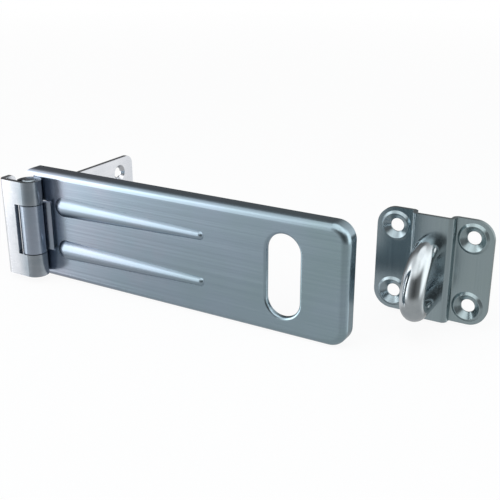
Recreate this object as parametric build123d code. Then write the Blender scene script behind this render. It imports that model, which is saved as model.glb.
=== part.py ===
from build123d import *
import math
import os

os.makedirs("parts", exist_ok=True)

# Sheet, pin and the rolled knuckles
sheet = 2.0
pin_r = 2.7
pin_play = 0.05
knuckle_in = pin_r + pin_play
knuckle_out = knuckle_in + sheet
barrel_len = 39.6
pin_proud = 0.25
pin_edge = 0.5
centre_knuckle = 20.0
knuckle_gap = 0.4
plate_gap = 0.3

# Staple base, whose raised channel sets how far the pin stands off the wall
base_sheet = 1.6
base_rise = 5.0
closed_gap = 0.2

# Strap
strap_high = 44.8
strap_reach = 134.9
rim_deep = 6.6
bend_out = 2.7
tip_corner = 6.5
ear_corner = 2.5
rim_lead = 4.4
slot_high = 31.0
slot_wide = 13.2
slot_from_pin = 110.65
slot_edge = 1.0
rib_z = 9.0
rib_start = 12.2
rib_end = 76.7
rib_wide_start = 4.0
rib_wide_end = 1.7
rib_tall_start = 2.2
rib_tall_end = 1.1
rib_fade = 0.8
joggle_start = 0.4
joggle_end = 5.6
joggle_bend = 0.6
slit_end = 6.2
roll_end_deg = 20.0

# Wall leaf
leaf_reach = 78.0
leaf_wide = 23.0
leaf_bend = 3.0
leaf_corner = 4.0
shoulder_y = 3.0
shoulder_round = 5.0
shoulder_corner = 2.0
leaf_hole_end = 9.5
leaf_hole_pitch = 19.5
leaf_hole_side = 4.6
leaf_roll_deg = 205.0
screw_r = 2.4
screw_head_r = 3.7

# Staple base plate and eye
base_x = 162.8
base_back_y = 46.1
base_wide = 43.0
base_high = 39.6
base_z = -1.5
base_corner = 7.0
channel_foot = 8.4
channel_top = 5.8
channel_bend = 0.5
base_hole_x = 28.4
base_hole_z = 25.8
base_hole_r = 2.5
boss_foot_r = 5.7
boss_top_r = 4.8
boss_rise = 0.8
dish_r = 4.6
dish_deep = 1.8
eye_r = 4.4
eye_pitch = 20.0
eye_drop = 1.5
eye_lead = 1.0
eye_low_bend = 5.5
tenon_r = 3.2
tenon_play = 0.05
head_r = 4.6
head_tall = 2.0
head_slope = 1.0

# Positions that follow from the sizes above
front_y = knuckle_out + plate_gap
back_y = front_y + sheet
rim_y = front_y + rim_deep
pin_x = back_y + base_rise + closed_gap
tip_x = pin_x + strap_reach
flange_in = knuckle_out - sheet
ear_x = pin_x - flange_in + knuckle_gap
rim_x = ear_x - rim_lead
wing_y = base_back_y - base_sheet
boss_y = wing_y - boss_rise
channel_y = base_back_y - base_rise
eye_top_z = base_z - eye_drop + eye_pitch / 2
eye_low_z = eye_top_z - eye_pitch


def block(x0, x1, y0, y1, z0, z1):
    """Box between two corners."""
    centre = ((x0 + x1) / 2, (y0 + y1) / 2, (z0 + z1) / 2)
    return Pos(*centre) * Box(x1 - x0, y1 - y0, z1 - z0)


def ribbon(start, heading, moves, thick):
    """Edge-on sheet that follows a line, with its thickness to the left of the way it runs."""
    x, y = start
    a = math.radians(heading)
    near = []
    far = []
    first = None
    for move in moves:
        left = (-math.sin(a), math.cos(a))
        if first is None:
            first = (x + thick * left[0], y + thick * left[1])
        if len(move) == 1:
            nx = x + move[0] * math.cos(a)
            ny = y + move[0] * math.sin(a)
            far_a = (x + thick * left[0], y + thick * left[1])
            far_b = (nx + thick * left[0], ny + thick * left[1])
            near.append(Edge.make_line((x, y), (nx, ny)))
            far.append(Edge.make_line(far_a, far_b))
            x, y = nx, ny
        else:
            radius, turn = move
            hand = 1 if turn > 0 else -1
            cx = x + hand * radius * left[0]
            cy = y + hand * radius * left[1]
            begin = math.degrees(a) - hand * 90
            seat = Pos(cx, cy, 0)
            near.append(seat * CenterArc((0, 0), radius, begin, turn).edge())
            far.append(seat * CenterArc((0, 0), radius - hand * thick, begin, turn).edge())
            a += math.radians(turn)
            x = cx + hand * radius * math.sin(a)
            y = cy - hand * radius * math.cos(a)
    last = (x - thick * math.sin(a), y + thick * math.cos(a))
    caps = [Edge.make_line((x, y), last), Edge.make_line(first, start)]
    return Face(Wire(near + far + caps))


def joggle(drop, run, radius_sum):
    """Turn angle and straight length of an S-bend that moves a sheet sideways by drop over run."""
    reach = math.hypot(run, radius_sum - drop)
    turn = math.asin(radius_sum / reach) - math.atan2(radius_sum - drop, run)
    straight = run * math.cos(turn) + (drop - radius_sum) * math.sin(turn)
    return math.degrees(turn), straight


def tall(face, z0, z1):
    """Plan outline carried up from z0 to z1."""
    return Pos(0, 0, z0) * extrude(face, z1 - z0, dir=(0, 0, 1))


def rod_y(x, z, radius, y0, y1):
    """Round rod along Y."""
    seat = Plane((x, y0, z), z_dir=(0, 1, 0))
    return seat * Cylinder(radius, y1 - y0, align=(Align.CENTER, Align.CENTER, Align.MIN))


def cone_y(x, z, r0, r1, y0, y1):
    """Round taper along Y, from radius r0 at y0 to radius r1 at y1."""
    seat = Plane((x, y0, z), z_dir=(0, 1, 0))
    return seat * Cone(r0, r1, y1 - y0, align=(Align.CENTER, Align.CENTER, Align.MIN))


# Wall leaf: a plate turned through a right angle, its flange rolled into the two outer knuckles
def make_leaf():
    run = [(leaf_reach + knuckle_out - leaf_bend,), (leaf_bend, 90), (pin_x - leaf_bend,)]
    run.append((knuckle_out, leaf_roll_deg + 90))
    leaf = tall(ribbon((0, leaf_reach), -90, run, sheet), -barrel_len / 2, barrel_len / 2)
    side = Plane((0, 0, 0), x_dir=(0, 1, 0), z_dir=(1, 0, 0))
    wide = Pos(shoulder_y / 2 - knuckle_out, 0) * Rectangle(shoulder_y + 2 * knuckle_out, barrel_len)
    narrow = Pos(leaf_reach / 2, 0) * Rectangle(leaf_reach, leaf_wide)
    shape = wide + narrow
    nooks = [v for v in shape.vertices() if abs(v.X - shoulder_y) < 0.01 and abs(v.Y) < leaf_wide / 2 + 0.01]
    step = (barrel_len - leaf_wide) / 2
    shape = fillet(nooks, min(shoulder_round, 0.65 * step))
    tops = [v for v in shape.vertices() if abs(v.X - shoulder_y) < 0.01 and abs(v.Y) > barrel_len / 2 - 0.01]
    shape = fillet(tops, min(shoulder_corner, 0.3 * step))
    ends = [v for v in shape.vertices() if v.X > leaf_reach - 0.01]
    shape = fillet(ends, leaf_corner)
    keep = side * extrude(shape, sheet, dir=(0, 0, 1))
    waste = block(-1, sheet, shoulder_y - shoulder_corner, leaf_reach + 1, -barrel_len, barrel_len) - keep
    leaf = leaf - waste
    notch_x = pin_x - math.sqrt((knuckle_out + knuckle_gap) ** 2 - flange_in ** 2)
    half = centre_knuckle / 2 + knuckle_gap
    leaf = leaf - block(notch_x, pin_x + 2 * knuckle_out, -2 * knuckle_out, 2 * knuckle_out, -half, half)
    leaf = leaf - Pos(pin_x, 0, 0) * Cylinder(knuckle_out + knuckle_gap / 2, 2 * half)
    for n in range(3):
        y = leaf_reach - leaf_hole_end - n * leaf_hole_pitch
        z = leaf_hole_side if n % 2 == 0 else -leaf_hole_side
        seat = Plane((0, y, z), z_dir=(1, 0, 0))
        base = (Align.CENTER, Align.CENTER, Align.MIN)
        sink = screw_head_r - screw_r
        leaf = leaf - seat * Cylinder(screw_r, sheet, align=base)
        leaf = leaf - seat * (Pos(0, 0, sheet - sink) * Cone(screw_r, screw_head_r, sink, align=base))
    return leaf


# Rib shape: a long tapering rod with round ends, lying along X with its axis sloping
def rib_rod(x0, y0, r0, x1, y1, r1, z):
    length = math.hypot(x1 - x0, y1 - y0)
    seat = Plane((x0, y0, z), x_dir=(x1 - x0, y1 - y0, 0), z_dir=(0, 0, 1))
    c = math.cos(math.pi / 4)
    with BuildSketch() as half:
        with BuildLine():
            ThreePointArc((-r0, 0), (-r0 * c, r0 * c), (0, r0))
            Line((0, r0), (length, r1))
            ThreePointArc((length, r1), (length + r1 * c, r1 * c), (length + r1, 0))
            Line((length + r1, 0), (-r0, 0))
        make_face()
    return seat * revolve(half.sketch, Axis.X, 360)


def cap_radius(half_wide, height):
    """Radius of a circle whose cap has the given half width and height."""
    return (half_wide ** 2 + height ** 2) / (2 * height)


# Strap: a pressed pan with turned edges, two ribs, a slot, and a tongue rolled into the centre knuckle
def make_strap():
    spare = 10.0
    span = tip_x - rim_x + spare
    front = Plane((0, rim_y, 0), x_dir=(1, 0, 0), z_dir=(0, -1, 0))
    pan = Pos((rim_x - spare + tip_x) / 2, 0) * Rectangle(span, strap_high)
    pan = fillet([v for v in pan.vertices() if v.X > tip_x - 0.01], tip_corner)
    pan = front * extrude(pan, rim_deep, dir=(0, 0, 1))
    rim = [e for e in pan.edges() if e.center().Y < front_y + 0.01 and e.center().X > rim_x]
    pan = fillet(rim, bend_out)
    inner_high = strap_high - 2 * sheet
    inner = Pos((rim_x - 2 * spare + tip_x - sheet) / 2, 0) * Rectangle(span + spare - sheet, inner_high)
    inner = fillet([v for v in inner.vertices() if v.X > tip_x - sheet - 0.01], tip_corner - sheet)
    inner = front * (Pos(0, 0, -1) * extrude(inner, rim_deep - sheet + 1, dir=(0, 0, 1)))
    edge = [e for e in inner.edges() if e.center().Y < back_y + 0.01 and e.center().X > rim_x - spare]
    inner = fillet(edge, bend_out - sheet)
    strap = pan - inner
    ends = Pos((rim_x + tip_x + spare) / 2, 0) * Rectangle(tip_x + spare - rim_x, strap_high)
    ends = fillet([v for v in ends.vertices() if v.X < rim_x + 0.01], ear_corner)
    strap = strap & (front * (Pos(0, 0, -1) * extrude(ends, rim_deep + 2, dir=(0, 0, 1))))
    strap = strap - block(rim_x - 1, ear_x, front_y - 1, rim_y + 1, -inner_high / 2, inner_high / 2)
    half = centre_knuckle / 2 + knuckle_gap
    strap = strap - block(ear_x - 1, pin_x + slit_end, front_y - 1, back_y + 1, -half, half)
    r0 = cap_radius(rib_wide_start, rib_tall_start)
    r1 = cap_radius(rib_wide_end, rib_tall_end)
    x0 = pin_x + rib_start
    x1 = pin_x + rib_end
    y0 = front_y + r0 - rib_tall_start
    y1 = front_y + r1 - rib_tall_end
    fade = back_y + rib_fade
    ribs = None
    hollows = None
    for z in (rib_z, -rib_z):
        outer = rib_rod(x0, y0, r0, x1, y1, r1, z)
        outer = outer & block(x0 - spare, x1 + spare, 0, front_y + sheet / 2, z - spare, z + spare)
        hollow = rib_rod(x0, y0, r0 - sheet, x1, fade, rib_fade / 2, z)
        ribs = outer if ribs is None else ribs + outer
        hollows = hollow if hollows is None else hollows + hollow
    strap = strap + ribs - hollows
    slot = front * (Pos(0, 0, -1) * extrude(slot_face(), rim_deep + 2, dir=(0, 0, 1)))
    strap = strap - slot
    lip = [e for e in strap.edges() if on_slot_lip(e)]
    strap = fillet(lip, slot_edge)
    drop = back_y - knuckle_out
    turn, straight = joggle(drop, joggle_end - joggle_start, 2 * joggle_bend + sheet)
    run = [(slit_end + 1 - joggle_end,), (joggle_bend + sheet, turn), (straight,), (joggle_bend, -turn)]
    run.append((joggle_start,))
    run.append((knuckle_out, 270 + roll_end_deg))
    half = centre_knuckle / 2
    tongue = tall(ribbon((pin_x + slit_end + 1, back_y), 180, run, sheet), -half, half)
    return strap + tongue


def slot_face():
    """Upright slot with full round ends."""
    return Pos(pin_x + slot_from_pin, 0) * (Rot(0, 0, 90) * SlotOverall(slot_high, slot_wide))


def on_slot_lip(e):
    """True for the slot's edges in the strap's front face."""
    c = e.center()
    near = abs(c.X - pin_x - slot_from_pin) < slot_wide / 2 + 0.5 and abs(c.Z) < slot_high / 2 + 0.5
    return near and abs(c.Y - front_y) < 0.01


# Hinge pin
def make_pin():
    pin = Pos(pin_x, 0, 0) * Cylinder(pin_r, barrel_len + 2 * pin_proud)
    return chamfer(pin.edges().filter_by(GeomType.CIRCLE), pin_edge)


# Staple base: a plate with a raised channel for the eye, and four dished screw holes in low bosses
def make_base():
    half = base_wide / 2
    small = channel_bend
    large = channel_bend + base_sheet
    turn, straight = joggle(base_rise - base_sheet, channel_foot - channel_top, small + large)
    up = [(small, -turn), (straight,), (large, turn)]
    down = [(large, turn), (straight,), (small, -turn)]
    run = [(half - channel_foot,)] + up + [(2 * channel_top,)] + down + [(half - channel_foot,)]
    hat = ribbon((base_x - half, wing_y), 0, run, base_sheet)
    base = tall(hat, base_z - base_high / 2, base_z + base_high / 2)
    face = Plane((base_x, base_back_y, base_z), x_dir=(1, 0, 0), z_dir=(0, -1, 0))
    shape = RectangleRounded(base_wide, base_high, base_corner)
    base = base & (face * (Pos(0, 0, -1) * extrude(shape, base_rise + 2, dir=(0, 0, 1))))
    for sx in (-1, 1):
        for sz in (-1, 1):
            x = base_x + sx * base_hole_x / 2
            z = base_z + sz * base_hole_z / 2
            base = base + cone_y(x, z, boss_top_r, boss_foot_r, boss_y, wing_y)
            base = base - rod_y(x, z, base_hole_r, boss_y - 1, base_back_y + 1)
            base = base - cone_y(x, z, dish_r, base_hole_r, boss_y, boss_y + dish_deep)
    for z in (eye_top_z, eye_low_z):
        base = base - rod_y(base_x, z, tenon_r + tenon_play, channel_y - 1, channel_y + base_sheet + 1)
    return base


# Staple eye: a round bar bent to a loop with a low nose, its two ends turned down and riveted over
def make_eye():
    inside_y = channel_y + base_sheet
    start_y = channel_y - eye_lead
    top_bend = eye_pitch - eye_low_bend
    nose_y = start_y - top_bend
    turn_y = nose_y + eye_low_bend
    bend_z = eye_top_z - top_bend
    c = math.cos(math.pi / 4)
    top_mid = (start_y - c * top_bend, bend_z + c * top_bend)
    low_mid = (turn_y - c * eye_low_bend, bend_z - c * eye_low_bend)
    with BuildLine(Plane((base_x, 0, 0), x_dir=(0, 1, 0), z_dir=(1, 0, 0))) as loop:
        Line((channel_y, eye_top_z), (start_y, eye_top_z))
        ThreePointArc((start_y, eye_top_z), top_mid, (nose_y, bend_z))
        ThreePointArc((nose_y, bend_z), low_mid, (turn_y, eye_low_z))
        Line((turn_y, eye_low_z), (channel_y, eye_low_z))
    bar = Plane((base_x, channel_y, eye_top_z), z_dir=(0, -1, 0)) * Circle(eye_r)
    eye = sweep(bar, path=loop.line)
    for z in (eye_top_z, eye_low_z):
        eye = eye + rod_y(base_x, z, tenon_r, channel_y, inside_y)
        head = rod_y(base_x, z, head_r, inside_y, inside_y + head_tall)
        far = [e for e in head.edges() if e.center().Y > inside_y + head_tall - 0.01]
        eye = eye + chamfer(far, head_slope)
    return eye


export_step(make_leaf(), "parts/hinge_leaf.step")
export_step(make_strap(), "parts/hasp_strap.step")
export_step(make_pin(), "parts/hinge_pin.step")
export_step(make_base(), "parts/staple_plate.step")
export_step(make_eye(), "parts/staple_eye.step")
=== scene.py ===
"""Safety hasp with its staple, in bright zinc-plated steel, on a pale studio floor."""
import math

import bpy
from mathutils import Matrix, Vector


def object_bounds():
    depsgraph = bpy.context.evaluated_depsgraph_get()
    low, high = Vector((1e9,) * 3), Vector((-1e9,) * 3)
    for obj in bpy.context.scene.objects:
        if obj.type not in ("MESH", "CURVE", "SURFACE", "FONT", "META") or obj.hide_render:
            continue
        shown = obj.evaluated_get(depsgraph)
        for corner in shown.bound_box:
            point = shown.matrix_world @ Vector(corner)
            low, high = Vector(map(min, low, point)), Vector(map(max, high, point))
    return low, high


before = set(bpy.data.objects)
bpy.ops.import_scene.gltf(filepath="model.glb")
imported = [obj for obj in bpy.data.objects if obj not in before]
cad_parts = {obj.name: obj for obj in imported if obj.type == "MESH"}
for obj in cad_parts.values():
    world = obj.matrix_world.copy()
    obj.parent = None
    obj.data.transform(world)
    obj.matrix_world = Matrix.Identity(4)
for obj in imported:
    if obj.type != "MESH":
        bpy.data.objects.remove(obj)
cad_low, cad_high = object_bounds()

MM = 0.001
PHOTO_PX = 500
SENSOR = 36.0

# The camera: where it stands in millimetres, how many degrees it looks down and to the left, its
# focal length in pixels of the square picture, and how near it sees, in metres
CAMERA_AT = (249.86, -234.14, 113.20)
LOOK_DOWN = 20.89
LOOK_LEFT = 30.31
FOCAL_PX = 850.0
NEAR_CLIP = 0.01

# The floor, in millimetres: its height, level with the lowest edge, half its side, and between
# which distances from the hinge the share of plain white in it grows from FLOOR_GLOW to all of it
FLOOR_Z = cad_low[2] / MM
FLOOR_HALF = 3000.0
FLOOR_GLOW = 0.92
FLOOR_FADE = (250.0, 1200.0)

# The plated skin, in millimetres: its clouds of tone, its crystals and how deep they are, the
# strap's front face, how far proud of it the drawn ribs are fully dulled, and where along the
# strap that starts, clear of the hinge
CLOUD_MM = 16.0
CRYSTAL_MM = 0.9
GRAIN_DEEP = 0.02
STRAP_FRONT_Y = 5.05
DRAWN_PROUD = 0.5
CLEAR_OF_HINGE = (18.0, 22.0)

# How the skin is mixed: the two ends of the tone shift along X, which on the strap and the leaf is
# painted light and shade, the clouds' share, the part of the rolling lines' range that shows, the
# lines' two tints, and the crystals' share of the relief
TONE_AND_SHADE_ENDS = (-0.2, 0.4)
CLOUD_SHARE = 0.8
STREAK_SPAN = (0.3, 0.7)
STREAK_TINTS = [(0.32, "#f3f4f6"), (0.68, "#ffffff")]
CRYSTAL_SHARE = 0.5

# Sockets of a Mix node that is set to colours
MIX_SHARE, MIX_FIRST, MIX_SECOND, MIX_OUT = 0, 6, 7, 2


def linear(hex_colour):
    """An sRGB hex colour as linear red, green, blue and alpha."""
    parts = [int(hex_colour[i:i + 2], 16) / 255.0 for i in (1, 3, 5)]
    low = [c / 12.92 if c <= 0.04045 else ((c + 0.055) / 1.055) ** 2.4 for c in parts]
    return (low[0], low[1], low[2], 1.0)


def per_mm(size):
    """The texture scale that gives features of this size in millimetres."""
    return 1.0 / (size * MM)


def add(tree, kind, inputs=None, stops=None, **settings):
    """Adds one node: its settings, its sockets as numbers or links, and a ramp's stops."""
    node = tree.nodes.new(kind)
    for name, value in settings.items():
        setattr(node, name, value)
    for name, value in (inputs or {}).items():
        if isinstance(value, bpy.types.NodeSocket):
            tree.links.new(value, node.inputs[name])
        else:
            node.inputs[name].default_value = value
    if stops:
        ramp = node.color_ramp.elements
        while len(ramp) < len(stops):
            ramp.new(0.5)
        for element, (place, colour) in zip(ramp, stops):
            element.position = place
            element.color = linear(colour)
    return node


def fresh_material(name):
    """An empty node material, and its tree."""
    material = bpy.data.materials.new(name)
    material.use_nodes = True
    material.node_tree.nodes.clear()
    return material, material.node_tree


def grey(level):
    """A ramp stop's hex for a plain number between 0 and 1."""
    encoded = level * 12.92 if level <= 0.0031308 else 1.055 * level ** (1 / 2.4) - 0.055
    byte = max(0, min(255, round(encoded * 255)))
    return "#%02x%02x%02x" % (byte, byte, byte)


def plated_steel(name, tones, tone_and_shade_span_mm, streak_mm, rough_low, rough_high, grain, scuff=0.0):
    """Zinc-plated steel: a cold blue-grey metal whose colour shifts between tones along X.

    The shift runs along X between two places in millimetres, blurred by clouds of tone; on the
    strap and the leaf it is painted light and shade. Streaks of the given size along X, Y and Z
    are the mill's or the die's lines, which move the roughness between its low and high value. A
    fine crystal grain breaks up the gloss, and scuff is how much rougher the die leaves what it
    draws out of the strap's front.
    """
    material, tree = fresh_material(name)
    place = add(tree, "ShaderNodeTexCoord").outputs["Object"]
    axes = add(tree, "ShaderNodeSeparateXYZ", {"Vector": place})
    along = axes.outputs["X"]
    cloud = add(
        tree,
        "ShaderNodeTexNoise",
        {"Vector": place, "Scale": per_mm(CLOUD_MM), "Detail": 3.0, "Roughness": 0.55},
    )
    tone_and_shade_slope = add(
        tree,
        "ShaderNodeMapRange",
        {
            "Value": along,
            "From Min": tone_and_shade_span_mm[0] * MM,
            "From Max": tone_and_shade_span_mm[1] * MM,
            "To Min": TONE_AND_SHADE_ENDS[0],
            "To Max": TONE_AND_SHADE_ENDS[1],
        },
    )
    skin = add(
        tree,
        "ShaderNodeMath",
        {0: cloud.outputs["Fac"], 1: CLOUD_SHARE, 2: tone_and_shade_slope.outputs["Result"]},
        operation="MULTIPLY_ADD",
    )
    tone = add(tree, "ShaderNodeValToRGB", {"Fac": skin.outputs["Value"]}, stops=tones)
    stretch = add(
        tree,
        "ShaderNodeMapping",
        {"Vector": place, "Scale": tuple(per_mm(size) for size in streak_mm)},
    )
    streak = add(
        tree,
        "ShaderNodeTexNoise",
        {"Vector": stretch.outputs["Vector"], "Scale": 1.0, "Detail": 4.0, "Roughness": 0.6},
    )
    crystal = add(
        tree,
        "ShaderNodeTexNoise",
        {"Vector": place, "Scale": per_mm(CRYSTAL_MM), "Detail": 2.0, "Roughness": 0.6},
    )
    streak_tone = add(
        tree,
        "ShaderNodeValToRGB",
        {"Fac": streak.outputs["Fac"]},
        stops=STREAK_TINTS,
    )
    colour = add(
        tree,
        "ShaderNodeMix",
        {
            MIX_SHARE: 1.0,
            MIX_FIRST: tone.outputs["Color"],
            MIX_SECOND: streak_tone.outputs["Color"],
        },
        data_type="RGBA",
        blend_type="MULTIPLY",
    )
    gloss = add(
        tree,
        "ShaderNodeMapRange",
        {
            "Value": streak.outputs["Fac"],
            "From Min": STREAK_SPAN[0],
            "From Max": STREAK_SPAN[1],
            "To Min": rough_low,
            "To Max": rough_high,
        },
    )
    drawn = add(
        tree,
        "ShaderNodeMapRange",
        {
            "Value": axes.outputs["Y"],
            "From Min": STRAP_FRONT_Y * MM,
            "From Max": (STRAP_FRONT_Y - DRAWN_PROUD) * MM,
            "To Max": scuff,
        },
    )
    clear_of_hinge = add(
        tree,
        "ShaderNodeMapRange",
        {
            "Value": along,
            "From Min": CLEAR_OF_HINGE[0] * MM,
            "From Max": CLEAR_OF_HINGE[1] * MM,
        },
    )
    dull = add(
        tree,
        "ShaderNodeMath",
        {
            0: drawn.outputs["Result"],
            1: clear_of_hinge.outputs["Result"],
            2: gloss.outputs["Result"],
        },
        operation="MULTIPLY_ADD",
    )
    relief = add(
        tree,
        "ShaderNodeMath",
        {0: crystal.outputs["Fac"], 1: CRYSTAL_SHARE, 2: streak.outputs["Fac"]},
        operation="MULTIPLY_ADD",
    )
    bump = add(
        tree,
        "ShaderNodeBump",
        {"Strength": grain, "Distance": GRAIN_DEEP * MM, "Height": relief.outputs["Value"]},
    )
    shader = add(
        tree,
        "ShaderNodeBsdfPrincipled",
        {
            "Base Color": colour.outputs[MIX_OUT],
            "Metallic": 1.0,
            "Roughness": dull.outputs["Value"],
            "Normal": bump.outputs["Normal"],
        },
    )
    add(tree, "ShaderNodeOutputMaterial", {"Surface": shader.outputs["BSDF"]})
    return material


# Cold-rolled sheet, pressed and then zinc plated with a clear blue passivate: a satin blue-grey
# skin with the rolling lines showing faintly through. On the strap the skin is painted from
# lavender at the hinge end to a darker, greener grey at the free end, which is painted shade. Mill
# lines are hundredths of a millimetre apart, so they are drawn at about half a millimetre to show.
# The leaf's skin is painted pale on the flat, a painted highlight, and darker at the roll, painted
# shade, and the staple plate's is an even grey.
STRAP_TONE_AND_SHADE_STOPS = [(0.10, "#adb5c4"), (0.45, "#a3b5c3"), (0.90, "#9cb2b9")]
LEAF_HIGHLIGHT_AND_SHADE_STOPS = [(0.10, "#d8dade"), (0.45, "#cacdd2"), (0.90, "#95a1aa")]
PLATE_TONES = [(0.10, "#9dacb4"), (0.45, "#a3b2b7"), (0.90, "#9fb0b1")]
strap_zinc = plated_steel(
    "rolled_sheet_blue_zinc",
    STRAP_TONE_AND_SHADE_STOPS,
    # Along this span the strap's skin darkens and greens towards the free end: painted shade
    tone_and_shade_span_mm=(20.0, 147.0),
    streak_mm=(140.0, 4.0, 0.5),
    rough_low=0.20,
    rough_high=0.25,
    grain=0.1,
    scuff=0.07,
)
leaf_zinc = plated_steel(
    "rolled_leaf_zinc_painted_highlight_and_shade",
    LEAF_HIGHLIGHT_AND_SHADE_STOPS,
    # Along this span the leaf is painted pale at the flange, a painted highlight, and darker at
    # the roll, painted shade
    tone_and_shade_span_mm=(2.0, 12.0),
    streak_mm=(4.0, 90.0, 0.5),
    rough_low=0.20,
    rough_high=0.26,
    grain=0.1,
)
plate_zinc = plated_steel(
    "pressed_plate_grey_zinc",
    PLATE_TONES,
    tone_and_shade_span_mm=(141.0, 185.0),
    streak_mm=(0.6, 4.0, 60.0),
    rough_low=0.20,
    rough_high=0.25,
    grain=0.1,
)

# Drawn wire, cropped and zinc plated: lines along its length from the die, and duller than the
# sheet.
PIN_TONES = [(0.10, "#99a4ae"), (0.45, "#a6b0b8"), (0.90, "#9da9ae")]
pin_zinc = plated_steel(
    "drawn_pin_zinc",
    PIN_TONES,
    tone_and_shade_span_mm=(9.0, 15.0),
    streak_mm=(0.5, 0.5, 14.0),
    rough_low=0.24,
    rough_high=0.34,
    grain=0.2,
)

# Bright bar, bent hot, tumbled and plated: smoother than the sheet, so lights show in it
# almost sharp.
BAR_TONES = [(0.10, "#b4bcc1"), (0.45, "#bfc6ca"), (0.90, "#b7bfc1")]
bar_zinc = plated_steel(
    "tumbled_bar_bright_zinc",
    BAR_TONES,
    tone_and_shade_span_mm=(158.0, 168.0),
    streak_mm=(3.0, 3.0, 3.0),
    rough_low=0.11,
    rough_high=0.17,
    grain=0.1,
)

FINISHES = {
    "hasp_strap": strap_zinc,
    "hinge_leaf": leaf_zinc,
    "staple_plate": plate_zinc,
    "hinge_pin": pin_zinc,
    "staple_eye": bar_zinc,
}
for node_name, finish in FINISHES.items():
    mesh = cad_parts[node_name].data
    mesh.materials.clear()
    mesh.materials.append(finish)


def flat_sheet(name, corners, material):
    """A plain four-cornered stage sheet from its corners in millimetres."""
    mesh = bpy.data.meshes.new(name)
    points = [[value * MM for value in corner] for corner in corners]
    mesh.from_pydata(points, [], [(0, 1, 2, 3)])
    mesh.materials.append(material)
    obj = bpy.data.objects.new(name, mesh)
    bpy.context.scene.collection.objects.link(obj)
    return obj


# The floor: pale paper, white to the eye with a soft shadow, and wholly white far off so that no
# edge shows against the room
floor_paper, floor_tree = fresh_material("floor_pale_paper")
floor_path = add(floor_tree, "ShaderNodeLightPath")
floor_diffuse = add(floor_tree, "ShaderNodeBsdfDiffuse", {"Color": linear("#e9ebed")})
floor_glow = add(floor_tree, "ShaderNodeEmission", {"Color": linear("#ffffff"), "Strength": 1.0})
floor_place = add(floor_tree, "ShaderNodeTexCoord").outputs["Object"]
floor_reach = add(floor_tree, "ShaderNodeVectorMath", {0: floor_place}, operation="LENGTH")
floor_white = add(
    floor_tree,
    "ShaderNodeMapRange",
    {
        "Value": floor_reach.outputs["Value"],
        "From Min": FLOOR_FADE[0] * MM,
        "From Max": FLOOR_FADE[1] * MM,
        "To Min": FLOOR_GLOW,
        "To Max": 1.0,
    },
)
floor_share = add(
    floor_tree,
    "ShaderNodeMath",
    {0: floor_path.outputs["Is Camera Ray"], 1: floor_white.outputs["Result"]},
    operation="MULTIPLY",
)
floor_mix = add(
    floor_tree,
    "ShaderNodeMixShader",
    {
        0: floor_share.outputs["Value"],
        1: floor_diffuse.outputs["BSDF"],
        2: floor_glow.outputs["Emission"],
    },
)
add(floor_tree, "ShaderNodeOutputMaterial", {"Surface": floor_mix.outputs["Shader"]})
floor = flat_sheet(
    "floor",
    [
        (-FLOOR_HALF, -FLOOR_HALF, FLOOR_Z),
        (FLOOR_HALF, -FLOOR_HALF, FLOOR_Z),
        (FLOOR_HALF, FLOOR_HALF, FLOOR_Z),
        (-FLOOR_HALF, FLOOR_HALF, FLOOR_Z),
    ],
    floor_paper,
)
floor.visible_glossy = False

# The room: white to the eye, a plain level of light for the floor, and for metal a studio in
# three bands one above the other, the floor, the walls and the ceiling, with one level straight
# under them and one overhead. Each band is a list of degrees round the room, 0 in front of the
# strap and 90 on the hinge's side, with its level there.
FLOOR_BAND = [
    (-180, 0.42), (-158, 0.34), (-140, 1.1), (-120, 0.72), (-100, 0.58), (-75, 0.54), (-45, 0.57),
    (-20, 0.54), (5, 0.57), (14, 0.64), (24, 0.61), (34, 0.53), (40, 0.4), (44, 0.28), (48, 1.9),
    (53, 1.9), (62, 1.0), (110, 0.9), (140, 0.6), (180, 0.42),
]
WALL_BAND = [
    (-180, 0.6), (-155, 0.8), (-135, 1.6), (-105, 2.1), (-91, 1.8), (-81, 0.9), (-71, 0.28),
    (-45, 0.16), (-30, 0.1), (-10, 0.16), (5, 0.3), (17, 0.45), (27, 1.15), (33, 1.7), (39, 2.4),
    (45, 3.6), (60, 3.6), (75, 2.5), (92, 0.8), (112, 0.22), (135, 0.12), (160, 0.15), (180, 0.6),
]
CEILING_BAND = [
    (-180, 0.45), (-150, 0.7), (-130, 1.1), (-100, 1.9), (-60, 1.9), (-35, 1.3), (-10, 1.6),
    (25, 1.4), (50, 1.05), (75, 1.0), (92, 0.8), (106, 0.3), (130, 0.2), (150, 0.2), (180, 0.45),
]
UNDER_LEVEL = 0.52
OVERHEAD_LEVEL = 1.6
TOP_LEVEL = 4.0
PLAIN_LEVEL = 0.45

# Where one band gives way to the next, in degrees above the horizon
FLOOR_EDGE = (-40.0, -27.0)
WALL_EDGE = (-20.5, -7.0)
CEILING_EDGE = (26.0, 48.0)
OVERHEAD_EDGE = (62.0, 75.0)

world = bpy.data.worlds.new("studio_room")
bpy.context.scene.world = world
world.use_nodes = True
room = world.node_tree
room.nodes.clear()
room_way = add(room, "ShaderNodeTexCoord").outputs["Generated"]
room_axes = add(room, "ShaderNodeSeparateXYZ", {"Vector": room_way})
room_left = add(room, "ShaderNodeMath", {0: room_axes.outputs["X"], 1: -1.0}, operation="MULTIPLY")
room_near = add(room, "ShaderNodeMath", {0: room_axes.outputs["Y"], 1: -1.0}, operation="MULTIPLY")
room_round = add(
    room,
    "ShaderNodeMath",
    {0: room_left.outputs["Value"], 1: room_near.outputs["Value"]},
    operation="ARCTAN2",
)
room_turn = add(
    room,
    "ShaderNodeMapRange",
    {"Value": room_round.outputs["Value"], "From Min": -math.pi, "From Max": math.pi},
)


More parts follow.
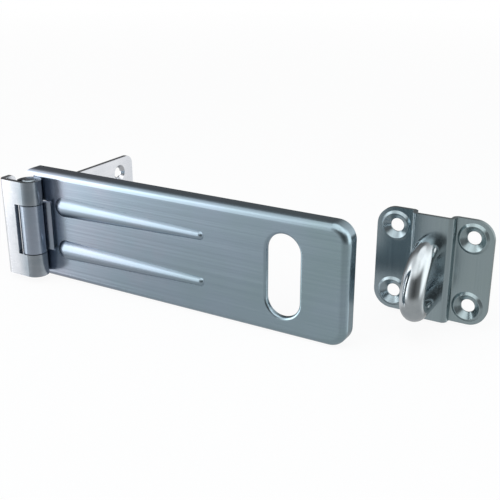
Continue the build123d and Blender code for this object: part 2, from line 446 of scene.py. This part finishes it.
def band(levels):
    """A ramp of light round the room, from degrees and levels up to the top level."""
    stops = [((turn + 180.0) / 360.0, grey(level / TOP_LEVEL)) for turn, level in levels]
    return add(room, "ShaderNodeValToRGB", {"Fac": room_turn.outputs["Result"]}, stops=stops)


def climb(low, high):
    """A smooth step from 0 to 1 between two heights in degrees above the horizon."""
    return add(
        room,
        "ShaderNodeMapRange",
        {
            "Value": room_axes.outputs["Z"],
            "From Min": math.sin(math.radians(low)),
            "From Max": math.sin(math.radians(high)),
        },
        interpolation_type="SMOOTHSTEP",
    )


room_floor = add(
    room,
    "ShaderNodeMix",
    {
        MIX_SHARE: climb(*FLOOR_EDGE).outputs["Result"],
        MIX_FIRST: linear(grey(UNDER_LEVEL / TOP_LEVEL)),
        MIX_SECOND: band(FLOOR_BAND).outputs["Color"],
    },
    data_type="RGBA",
)
room_low = add(
    room,
    "ShaderNodeMix",
    {
        MIX_SHARE: climb(*WALL_EDGE).outputs["Result"],
        MIX_FIRST: room_floor.outputs[MIX_OUT],
        MIX_SECOND: band(WALL_BAND).outputs["Color"],
    },
    data_type="RGBA",
)
room_high = add(
    room,
    "ShaderNodeMix",
    {
        MIX_SHARE: climb(*CEILING_EDGE).outputs["Result"],
        MIX_FIRST: room_low.outputs[MIX_OUT],
        MIX_SECOND: band(CEILING_BAND).outputs["Color"],
    },
    data_type="RGBA",
)
room_bands = add(
    room,
    "ShaderNodeMix",
    {
        MIX_SHARE: climb(*OVERHEAD_EDGE).outputs["Result"],
        MIX_FIRST: room_high.outputs[MIX_OUT],
        MIX_SECOND: linear(grey(OVERHEAD_LEVEL / TOP_LEVEL)),
    },
    data_type="RGBA",
)
room_path = add(room, "ShaderNodeLightPath")
room_seen = add(
    room,
    "ShaderNodeMath",
    {0: room_path.outputs["Is Camera Ray"], 1: room_path.outputs["Is Transmission Ray"]},
    operation="MAXIMUM",
)
room_light = add(
    room, "ShaderNodeBackground", {"Color": linear("#f4f7fa"), "Strength": PLAIN_LEVEL}
)
room_white = add(room, "ShaderNodeBackground", {"Color": linear("#ffffff"), "Strength": 1.0})
room_metal = add(
    room, "ShaderNodeBackground", {"Color": room_bands.outputs[MIX_OUT], "Strength": TOP_LEVEL}
)
room_plain = add(
    room,
    "ShaderNodeMixShader",
    {
        0: room_seen.outputs["Value"],
        1: room_light.outputs["Background"],
        2: room_white.outputs["Background"],
    },
)
room_mix = add(
    room,
    "ShaderNodeMixShader",
    {
        0: room_path.outputs["Is Glossy Ray"],
        1: room_plain.outputs["Shader"],
        2: room_metal.outputs["Background"],
    },
)
add(room, "ShaderNodeOutputWorld", {"Surface": room_mix.outputs["Shader"]})


def soft_box(name, place, target, size, watts):
    """A rectangular soft light at a place in millimetres, turned to face a target.

    It lights the floor and casts the soft shadow there. Metal takes its light from the bands.
    """
    data = bpy.data.lights.new(name, "AREA")
    data.shape = "RECTANGLE"
    data.size = size[0] * MM
    data.size_y = size[1] * MM
    data.energy = watts
    lamp = bpy.data.objects.new(name, data)
    lamp.location = Vector(place) * MM
    aim = (Vector(target) - Vector(place)).normalized()
    lamp.rotation_euler = aim.to_track_quat("-Z", "Y").to_euler()
    lamp.visible_camera = False
    lamp.visible_glossy = False
    bpy.context.scene.collection.objects.link(lamp)


soft_box(
    "box_key",
    place=(-400.0, -560.0, 520.0),
    target=(80.0, 0.0, 0.0),
    size=(900.0, 700.0),
    watts=4.6,
)
soft_box(
    "box_overhead",
    place=(40.0, -60.0, 700.0),
    target=(80.0, 0.0, 0.0),
    size=(500.0, 400.0),
    watts=1.6,
)
soft_box(
    "box_right",
    place=(520.0, -120.0, 420.0),
    target=(120.0, 20.0, 0.0),
    size=(260.0, 260.0),
    watts=0.6,
)

# The camera
camera_data = bpy.data.cameras.new("photo_camera")
camera_data.sensor_fit = "HORIZONTAL"
camera_data.sensor_width = SENSOR
camera_data.lens = SENSOR * FOCAL_PX / PHOTO_PX
camera_data.clip_start = NEAR_CLIP
camera = bpy.data.objects.new("photo_camera", camera_data)
camera.location = Vector(CAMERA_AT) * MM
camera.rotation_euler = (math.radians(90.0 - LOOK_DOWN), 0.0, math.radians(LOOK_LEFT))
bpy.context.scene.collection.objects.link(camera)
bpy.context.scene.camera = camera

bpy.context.scene.view_settings.view_transform = "Standard"
